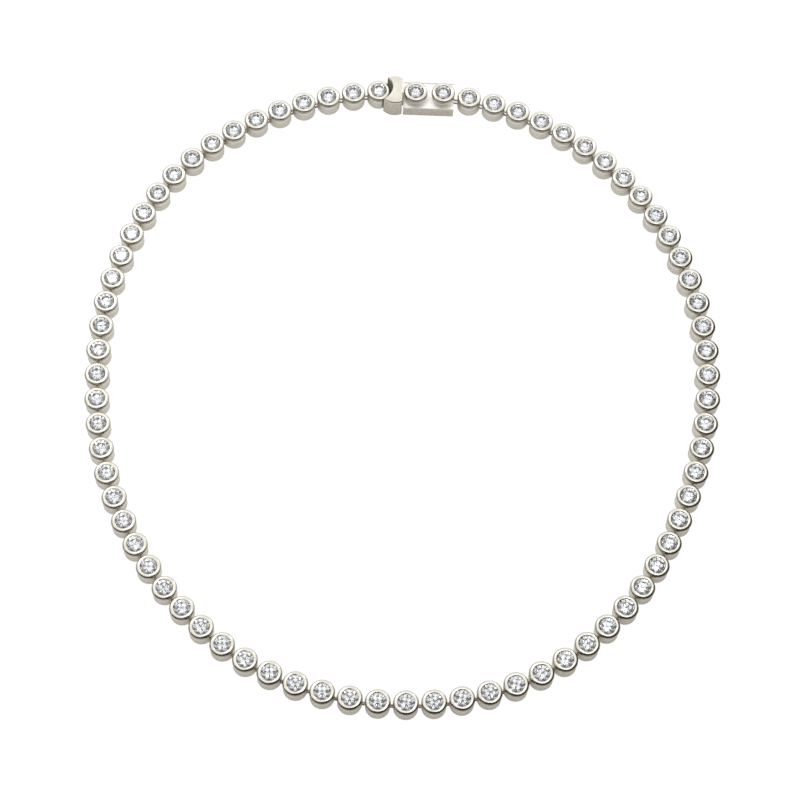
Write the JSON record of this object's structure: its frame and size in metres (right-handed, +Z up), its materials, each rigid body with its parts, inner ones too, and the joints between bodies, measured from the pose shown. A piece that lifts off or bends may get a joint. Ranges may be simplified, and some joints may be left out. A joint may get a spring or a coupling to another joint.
{
  "type": "riviere necklace",
  "caption": "Riviere necklace: a closed loop of round bezel-set brilliants in white gold cups, joined by hidden wire links and a flat box clasp.",
  "frame": {"origin": "middle of the necklace's footprint on the surface that it lies on", "axes": "+Z up, +Y towards the clasp at the back of the neck, +X to the right seen from above with the clasp at the top, along the clasp box"},
  "size_m": [0.1282, 0.1394, 0.0057],
  "materials": {
    "cup_gold": "satin white gold: smooth rounded collars, brushed bodies",
    "chain_diamond": "polished diamond",
    "link_gold": "drawn white gold wire",
    "box_gold": "brushed white gold",
    "block_gold": "brushed white gold",
    "clasp_diamond_left": "polished diamond",
    "clasp_diamond_right": "polished diamond"
  },
  "bodies": {
    "root": {"bezel_cups": "cup_gold", "chain_stones": "chain_diamond", "chain_links": "link_gold", "clasp_box": "box_gold", "clasp_end_block": "block_gold", "clasp_stone_left": "clasp_diamond_left", "clasp_stone_right": "clasp_diamond_right"}
  },
  "joints": []
}
